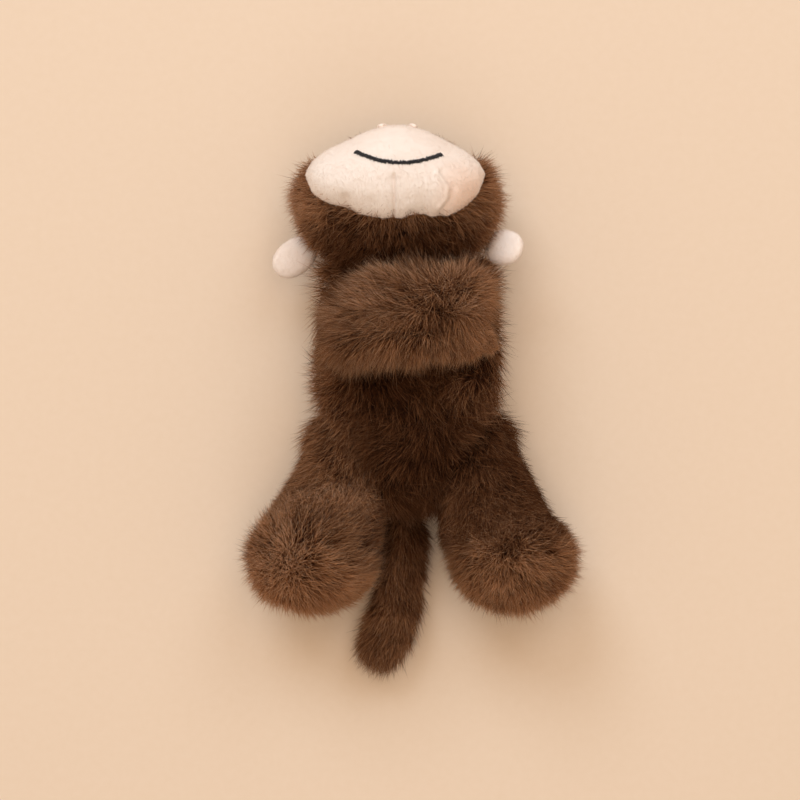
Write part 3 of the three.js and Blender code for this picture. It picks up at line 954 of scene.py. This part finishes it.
def arm_tone(points):
    """Paler to the left, darker at the whorl, and dark on the right arm's upper end, with painted shade below the
    head.
    """
    tone = 0.48 + 0.7 * ramp(points[:, 0], 12, 42) - 0.3 * near_place(points, ARM_WHORL, 15)
    # The right arm's dark upper end is painted shade below the head
    return tone * (1 - 0.85 * shoulder_share(points))


def tuck_arms(points, nap):
    """Fills the groove between the folded arms and draws their lower left and upper right edges in.

    The right arm's upper end sinks into the shoulder.
    """
    x, y, z = points.T
    planes = ARMS_HULL[ARMS_HULL[:, 2] > 0.05]
    rise = np.min((planes[:, 3] - points @ planes[:, :3].T) / planes[:, 2], axis=1) - ARM_INSET
    upper = ramp(nap[:, 2], -0.35, 0.1)
    z += np.clip(rise, 0, 12) * (1 - ramp(np.abs(y - ARM_GROOVE), 4, 12)) * upper
    z -= 9 * shoulder_share(points) * upper
    below = np.maximum(0, joint_place["left_shoulder_swing"][1] - y)
    above = np.maximum(0, y - joint_place["right_shoulder_swing"][1])
    y += below * (0.4 + 0.6 * ramp(x, -35, 40))
    y -= above * 0.8 * (1 - ramp(x, -45, 0))


for side in SIDES:
    dress(
        side + "_arm", voxel=3.5, inset=ARM_INSET, cap=1.5, counts=(14000, 13000), wildness=1.1,
        flow=arm_flow, reach=arm_reach, lift=arm_lift, tone=arm_tone, bare=inside_torso,
        shaped=tuck_arms,
    )


# Legs and tail

# A foot's middle, from the toy's middle and from the foot's lower end
FOOT_ASIDE = 53
FOOT_UP = 33


def waist_share(points, hip, foot):
    """1 on the outer side of a leg between its hip and its foot."""
    along = np.clip((hip[1] - points[:, 1]) / (hip[1] - foot[1]), 0, 1)
    aside = np.abs(points[:, 0]) - abs(hip[0]) - along * (abs(foot[0]) - abs(hip[0]))
    down = -points[:, 1]
    return ramp(aside, 4, 24) * ramp(down, 20, 42) * (1 - ramp(down, 66, 96))


def dress_leg(side, outward, *, whorl, crown, spread, start, base_tone, waist, shift):
    """One leg.

    The foot's fur spreads from a whorl and stands up in a crown, both given from the foot's middle, and
    starts at a distance down. The outer side is drawn in at the waist, and the foot shifted out.
    """
    low, high = node_box(*panels_of(side + "_leg"))
    foot = np.array((outward * FOOT_ASIDE, low[1] + FOOT_UP, high[2] / 2))
    hip = joint_place[side + "_hip_lift"]
    whorl = foot + whorl
    down_leg = (whorl - hip) * (1, 1, 0) / np.linalg.norm((whorl - hip)[:2])

    def at_crown(points):
        return near_place(points, foot + crown, spread)

    def flow(points):
        on_foot = ramp(-points[:, 1], start, start + 16)[:, None]
        out = away_from(points, whorl, 15)
        swirl = out + 0.2 * quarter_turn(out)
        return (1.2 * swirl * on_foot + down_leg * (1 - on_foot)) * (1 - 0.8 * at_crown(points)[:, None])

    def reach(points):
        """Longest below the whorl and on the thigh, short on the waist and the flanks of the foot."""
        down = -points[:, 1]
        flank = ramp(whorl[2] - 20 * (1 - ramp(down, 40, 80)) - points[:, 2], 10, 32)
        short = np.maximum(4.5 * ramp(down, 20, 50) * flank, 6.5 * waist_share(points, hip, foot))
        return 16 - short - 4 * at_crown(points)

    def lift(points):
        flank = ramp(whorl[2] - points[:, 2], 10, 30)
        return 0.5 + 0.05 * ramp(-points[:, 1], 58, 74) * flank + 0.5 * at_crown(points)

    def tone(points):
        """Paler below the whorl, painted light on the foot's lower half; darker at the hip's inner side, like the
        belly, partly painted shade.
        """
        # Darker at the hip's inner side: partly painted shade, as on the belly
        inner = ramp(points[:, 1], -66, -34) * (1 - ramp(np.abs(points[:, 0]) - abs(hip[0]), 0, 24))
        # Paler below the whorl: painted light on the foot's lower half, which faces away from the lamps
        return base_tone * (1 - 0.6 * inner) + 0.72 * ramp(whorl[1] - points[:, 1], -4, 9)

    def trim(points, nap):
        points[:, 0] -= outward * waist * waist_share(points, hip, foot)
        points[:, 0] += outward * shift * ramp(-points[:, 1], 72, 104)

    dress(
        side + "_leg", voxel=4.5, inset=4.5, cap=2, counts=(27000, 27000), wildness=1.2,
        flow=flow, reach=reach, lift=lift, tone=tone, bare=inside_torso,
        shaped=trim, thick=lambda points: 1 + at_crown(points), form=hulled,
    )


dress_leg(
    "left", 1, whorl=(-3, 8, 40), crown=(0, 19, 36), spread=18, start=74,
    base_tone=0.12, waist=2.5, shift=3.5,
)
dress_leg(
    "right", -1, whorl=(-17, -5, 34), crown=(-17, -5, 34), spread=10, start=58,
    base_tone=0.6, waist=4.5, shift=0.0,
)


def tail_flow(points):
    """Down the tail, and to the right near its tip."""
    flow = np.tile((0.0, -1.0, 0.0), (len(points), 1))
    flow[:, 0] = -0.35 * ramp(-points[:, 1], 100, 140)
    return flow


def tail_tone(points):
    """Dark at the root, paler to the tip."""
    return 0.04 + 0.32 * ramp(-points[:, 1], 80, 115)


dress(
    "tail", voxel=3.5, inset=4, cap=1.5, counts=(16000, 8000), wildness=1.2,
    flow=tail_flow, reach=constant(14), lift=constant(0.75), tone=tail_tone, bare=inside_torso,
)


# Muzzle and ears in short pile

# Sewn lines and folds under the mouth: level places from the muzzle's middle, depth drawn in, and width
CHIN_SEAMS = [
    ([(-1.7, -3), (-1.7, -14), (-2, -28)], 1.2, 0.7),
    ([(-1.7, -6), (-1.7, -14), (-2, -28)], 1.2, 3.0),
    ([(-0.2, -3), (-0.2, -14), (-0.5, -28)], -0.6, 0.8),
    ([(-28, -15), (-26, -24)], 1.4, 2.6),
    ([(24, -1), (30, -9), (29, -15), (24, -21), (21, -26)], 1.2, 2.2),
    ([(21, -2), (26.5, -9), (26, -15), (22, -20)], -0.9, 1.4),
    ([(8, -25), (11, -32)], 2.2, 3.4),
    ([(-14, -18), (-13, -30)], 0.8, 4),
    ([(-19, -8), (-18, -27)], 0.35, 1.6),
    ([(-10, -6), (-9.5, -27)], 0.4, 1.3),
    ([(6, -5), (6, -16)], 0.35, 1.4),
    ([(14, -4), (15, -26)], 0.45, 1.6),
]
# Rounds of smoothing that make the chin one soft slope
CHIN_SMOOTHING = 250
# How far the cream cloth swells
PILE_CAP = 1


def distance_to_line(points, corners):
    """Level distance from points to a line of straight runs."""
    near = np.full(len(points), 1e9)
    for start, end in zip(corners[:-1], corners[1:]):
        a, b = np.array(start, float), np.array(end, float)
        share = np.clip((points - a) @ (b - a) / ((b - a) @ (b - a)), 0, 1)
        near = np.minimum(near, np.linalg.norm(points - a - share[:, None] * (b - a), axis=1))
    return near


def soften_chin(piece):
    """Smooths the muzzle's lower panel, apart from its rim."""
    points = coordinates(piece.data)
    middle = 1 - ramp(from_muzzle(points), 34, 47)
    weights = middle * ramp(muzzle_middle[1] + 10 - points[:, 1], 0, 10)
    weights *= ramp(normals(piece.data)[:, 2], 0.05, 0.4)
    group = piece.vertex_groups.new(name="chin")
    for index, weight in enumerate(weights):
        group.add([index], weight, "REPLACE")
    modify(piece, "SMOOTH", factor=0.5, iterations=CHIN_SMOOTHING, vertex_group="chin")
    piece.vertex_groups.clear()


def draw_in_seams(piece):
    """Fills the muzzle's right cheek out, lifts both its corners, and draws the sewn lines in."""
    points = coordinates(piece.data)
    points[:, 0] -= 2.2 * ramp(muzzle_middle[0] - points[:, 0], 10, 48)
    points[:, 1] += rim_lift(points) + 3.2 * ramp(from_muzzle(points), 24, 47)
    set_coordinates(piece.data, points)
    nap = normals(piece.data)
    level = (points - muzzle_middle)[:, :2]
    depth = np.zeros(len(points))
    for corners, draw, width in CHIN_SEAMS:
        depth += draw * np.exp(-((distance_to_line(level, corners) / width) ** 2))
    depth *= ramp(nap[:, 2], -0.7, -0.1)
    set_coordinates(piece.data, points - depth[:, None] * nap)


def pile_piece(piece, body, nodes, *, voxel, smoothing, inset, finish):
    """A padded piece of the cream cloth."""
    padded_form(piece, voxel, smoothing, inset, PILE_CAP, finish)
    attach(piece, body)
    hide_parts(*nodes)


def brush(piece, body, count, way):
    """Short nap on a piece of the cream cloth, brushed one way."""
    nap = normals(piece.data)
    fields = {"comb": level_comb(np.tile(way, (len(nap), 1)), nap)}
    for key, value in (("reach", 1.1 * MM), ("lift", 0.65), ("tone", 0.8)):
        fields[key] = np.full(len(nap), value)
    weight = 0.4 + 0.6 * ramp(nap[:, 2], -0.3, 0.3)
    sizes = {**NAP_STRANDS, "Wildness": 0.5, "Seed": sum(map(ord, piece.name))}
    fur = grown(piece.name.replace("cloth", "nap"), piece, count, weight, fields, sizes)
    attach(fur, body)


MUZZLE_NODES = ["muzzle_lower_panel", "muzzle_upper_panel", "muzzle_stuffing"]
muzzle = hulled("muzzle_cloth", MUZZLE_NODES)
pile_piece(muzzle, "head", MUZZLE_NODES, voxel=1.4, smoothing=10, inset=-0.1, finish=SHORT_PILE)
soften_chin(muzzle)
draw_in_seams(muzzle)
brush(muzzle, "head", count=16000, way=(0.1, -0.8, 0.0))
for side in SIDES:
    ear = side + "_ear"
    ear_panels = [ear + "_front_panel", ear + "_back_panel"]
    cloth = welded(ear + "_cloth", ear_panels)
    pile_piece(cloth, ear, ear_panels, voxel=1.3, smoothing=2, inset=-0.2, finish=EAR_PILE)
    brush(cloth, ear, count=1500, way=(0.0, -0.6, 0.0))


# Thread


def satin_tree():
    """Satin stitch: threads laid side by side across a path."""
    graph, size = new_tree("satin_stitch", "Stitches", (
        ("Path", "Geometry"), ("Threads", "Int"), ("Stitch Length", "Float"), ("Thread", "Float"),
        ("Seed", "Int"), ("Finish", "Material"),
    ))
    across = graph.stored("across", "FLOAT_VECTOR")
    path = graph.node("GeometryNodeMeshToCurve", None, {"Mesh": size("Path")})
    path = graph.node("GeometryNodeResampleCurve", None, {"Curve": path, "Count": size("Threads")})
    points = graph.node("GeometryNodeCurveToPoints", {"mode": "EVALUATED"}, {"Curve": path})
    uneven = graph.chance(0.82, 1.2, size("Seed"))
    aside = graph.chance(-0.14, 0.14, size("Seed") + 1)
    points = graph.moved(points, Offset=across * (size("Stitch Length") * aside))
    turn = graph.aligned("Z", graph.stored("up", "FLOAT_VECTOR"))
    turn = graph.aligned("X", across, "Z", Rotation=turn)
    scale = graph.vector(size("Stitch Length") * uneven, size("Thread") * 1.25, size("Thread") * 1.6)
    thread = graph.node("GeometryNodeMeshUVSphere", None, {"Segments": 6, "Rings": 5, "Radius": 0.5})
    laid = graph.copies(points, thread, turn, scale)
    graph.give("Stitches", laid, size("Finish"))
    return graph.tree


SATIN_TREE = satin_tree()
THREAD = {
    "scale": 2600, "detail": 2, "specular": 0.4, "roughness": 0.4, "spread": 0.3, "bump": (0.4, 0.1 * MM),
}
DARK_THREAD = speckled_material("black_thread", (9, 7, 9), (38, 34, 38), **THREAD)
PALE_THREAD = speckled_material("pale_thread", (250, 226, 210), (255, 244, 236), **THREAD)


def stitched(name, node, corners, *, way, stitch, thread, finish):
    """Satin stitch along a line of points, each moved along a way on to the muzzle's cloth."""
    search = search_tree([muzzle.data])
    way = Vector(way)
    found = [search.ray_cast(Vector(corner) - way * 20, way) for corner in corners]
    laid = np.array([hit[0] + 0.6 * thread * hit[1] for hit in found])
    up = np.array([hit[1] for hit in found])
    along = np.gradient(laid, axis=0)
    across = np.cross(along, up)
    across /= np.linalg.norm(across, axis=1, keepdims=True)
    mesh = bpy.data.meshes.new(name)
    mesh.from_pydata((laid * MM).tolist(), [(i, i + 1) for i in range(len(laid) - 1)], [])
    add_field(mesh, "up", up)
    add_field(mesh, "across", across)
    path = add_object(name + "_path", mesh)
    length = float(np.sum(np.linalg.norm(np.diff(laid, axis=0), axis=1)))
    piece = add_object(name, run_tree(path, SATIN_TREE, {
        "Threads": int(length / thread * 1.15), "Stitch Length": stitch * MM, "Thread": thread * MM,
        "Seed": 5, "Finish": finish,
    }))
    bpy.data.objects.remove(path)
    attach(piece, "head")
    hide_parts(node)


def upright_line(node, count):
    """Points up the middle of a thin CAD node."""
    points = coordinates(node_mesh(node))
    z = points[:, 2]
    heights = np.linspace(z.min(), z.max(), count + 1)
    slices = [(z >= low - 0.01) & (z <= high + 0.01) for low, high in zip(heights[:-1], heights[1:])]
    return np.array([points[inside].mean(axis=0) for inside in slices if inside.any()])


# How much the mouth's right end stands over its middle
MOUTH_LEAN = 1.1
MOUTH_POINTS = 41


def smile_line():
    """An arc in the mouth's box, level with the top of it."""
    low, high = node_box("mouth_stitching")
    middle, half = (low[0] + high[0]) / 2, (high[0] - low[0]) / 2
    aside = np.linspace(-0.94, 1, MOUTH_POINTS)
    bottom, top = low[1] + 2.2, high[1] - 0.6
    along = bottom + (top - bottom) * aside ** 2 - MOUTH_LEAN * aside
    return np.stack([middle + half * aside, along, np.full(MOUTH_POINTS, high[2])], axis=1)


stitched(
    "mouth_thread", "mouth_stitching", smile_line(), way=(0, 0, -1), stitch=2.6, thread=0.42,
    finish=DARK_THREAD,
)
for side in SIDES:
    node = side + "_nostril_stitching"
    stitched(
        side + "_nostril_thread", node, upright_line(node, 6), way=(0, -1, 0), stitch=3.6, thread=1.3,
        finish=PALE_THREAD,
    )


# Eyes

PLASTIC = {"scale": 300, "detail": 3, "specular": 0.5, "spread": 0.08}
EYE_PLASTIC = speckled_material(
    "black_plastic", (10, 7, 6), (26, 16, 12), roughness=0.06, **PLASTIC
)
WASHER_PLASTIC = speckled_material(
    "white_plastic", (222, 222, 216), (240, 240, 236), roughness=0.4, **PLASTIC
)
# Steps round an eye and from its rim to its top, and the height of its straight rim
EYE_TURNS = 40
EYE_RINGS = 12
EYE_RIM = 0.5


def eye(side):
    """A polished dome, turned round the line from its washer's middle to its own."""
    axis, top = eye_frame(side)
    base = top - axis * EYE_HEIGHT
    frame_x = np.cross(axis, (1, 0, 0))
    frame_x /= np.linalg.norm(frame_x)
    frame_y = np.cross(axis, frame_x)
    profile = [(EYE_RADIUS * 0.9, -0.6), (EYE_RADIUS, 0.0), (EYE_RADIUS, EYE_RIM)]
    for ring in range(1, EYE_RINGS):
        angle = math.radians(90 * ring / EYE_RINGS)
        height = EYE_RIM + (EYE_HEIGHT - EYE_RIM) * math.sin(angle)
        profile.append((EYE_RADIUS * math.cos(angle), height))
    form = bmesh.new()
    rows = []
    for across, up in profile:
        row = []
        for step in range(EYE_TURNS):
            angle = 2 * math.pi * step / EYE_TURNS
            out = frame_x * math.cos(angle) + frame_y * math.sin(angle)
            row.append(form.verts.new((base + axis * up + across * out) * MM))
        rows.append(row)
    for lower, upper in zip(rows[:-1], rows[1:]):
        for step in range(EYE_TURNS):
            form.faces.new((lower[step - 1], lower[step], upper[step], upper[step - 1]))
    form.faces.new(list(reversed(rows[0])))
    tip = form.verts.new(top * MM)
    for step in range(EYE_TURNS):
        form.faces.new((rows[-1][step - 1], rows[-1][step], tip))
    bmesh.ops.recalc_face_normals(form, faces=form.faces)
    piece = object_of(side + "_eye_dome", form)
    piece.data.shade_smooth()
    piece.data.materials.append(EYE_PLASTIC)
    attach(piece, "head")
    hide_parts(side + "_eye")
    washer = node_mesh(side + "_eye_washer")
    washer.materials.clear()
    washer.materials.append(WASHER_PLASTIC)


for side in SIDES:
    eye(side)


# Floor, light and camera

FLOOR_HALF = 4.0
WARM = (1.0, 0.80, 0.60)
COOL = (0.71, 0.857, 1.0)

floor_mesh = bpy.data.meshes.new("floor")
corners = [(x * FLOOR_HALF, y * FLOOR_HALF, 0) for x, y in ((-1, -1), (1, -1), (1, 1), (-1, 1))]
floor_mesh.from_pydata(corners, [], [(0, 1, 2, 3)])
floor_mesh.materials.append(speckled_material(
    "warm_paper", (236, 212, 188), (240, 217, 195),
    scale=220, detail=4, specular=0.1, roughness=0.9, spread=0.05,
))
add_object("floor", floor_mesh)

world = bpy.data.worlds.new("studio")
world.use_nodes = True
world.node_tree.nodes["Background"].inputs["Color"].default_value = (*WARM, 1)
world.node_tree.nodes["Background"].inputs["Strength"].default_value = 0.48
scene.world = world


def softbox(name, place, size, power, colour):
    """A round lamp that faces the toy."""
    lamp = bpy.data.lights.new(name, "AREA")
    lamp.shape = "DISK"
    lamp.size = size
    lamp.energy = power
    lamp.color = colour
    made = add_object(name, lamp)
    made.location = place
    to_toy = Vector((0, 0, 0.03)) - Vector(place)
    made.rotation_euler = to_toy.to_track_quat("-Z", "Y").to_euler()


softbox("softbox_left", (-0.9, 2.0, 2.2), size=1.6, power=36, colour=COOL)
softbox("softbox_right", (1.0, 1.9, 2.3), size=1.6, power=17.5, colour=COOL)
softbox("softbox_below", (0.2, -2.2, 2.8), size=2.0, power=8.5, colour=COOL)
softbox("softbox_over", (0, 0.2, 2.4), size=2.0, power=16.5, colour=WARM)

scene.view_settings.view_transform = "Standard"
camera = bpy.data.cameras.new("camera")
camera.lens = 103
camera.sensor_width = 36
camera.clip_end = 20
viewer = add_object("camera", camera)
viewer.location = (-5.5 * MM, -9.35 * MM, 1.3)
scene.camera = viewer

bpy.context.view_layer.update()
